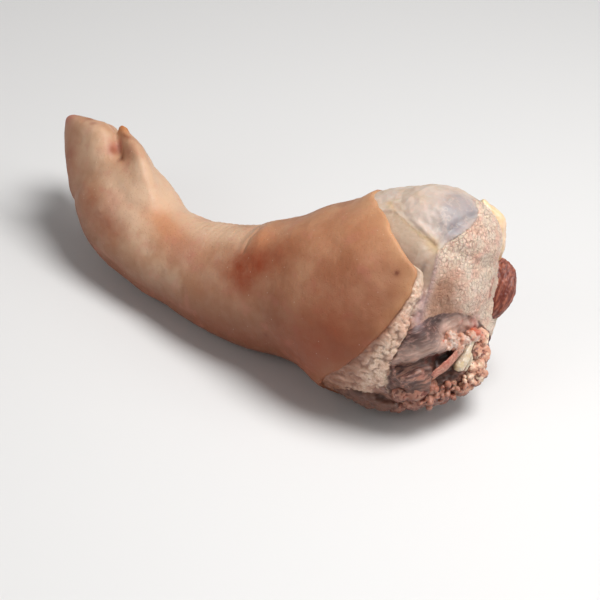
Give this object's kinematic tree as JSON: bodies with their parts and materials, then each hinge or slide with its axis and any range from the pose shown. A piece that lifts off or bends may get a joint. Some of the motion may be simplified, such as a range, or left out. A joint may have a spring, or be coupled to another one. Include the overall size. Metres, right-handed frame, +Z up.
{
  "type": "pork front leg",
  "caption": "Raw bent front leg of pork in its skin, with cloven toes and dewclaws at one end and the bare torn meat of the shoulder cut at the other.",
  "frame": {"origin": "middle of the bounding box in X and Y, at the height of the flats that the leg rests on", "axes": "+X runs from the foot to the cut end, +Z is up, and -Y is the side that the picture shows"},
  "size_m": [0.3412, 0.1321, 0.1391],
  "materials": {
    "raw_pork": "moist raw skin, with bare fat and meat at the cut end"
  },
  "bodies": {
    "root": {"leg": "raw_pork"}
  },
  "joints": []
}
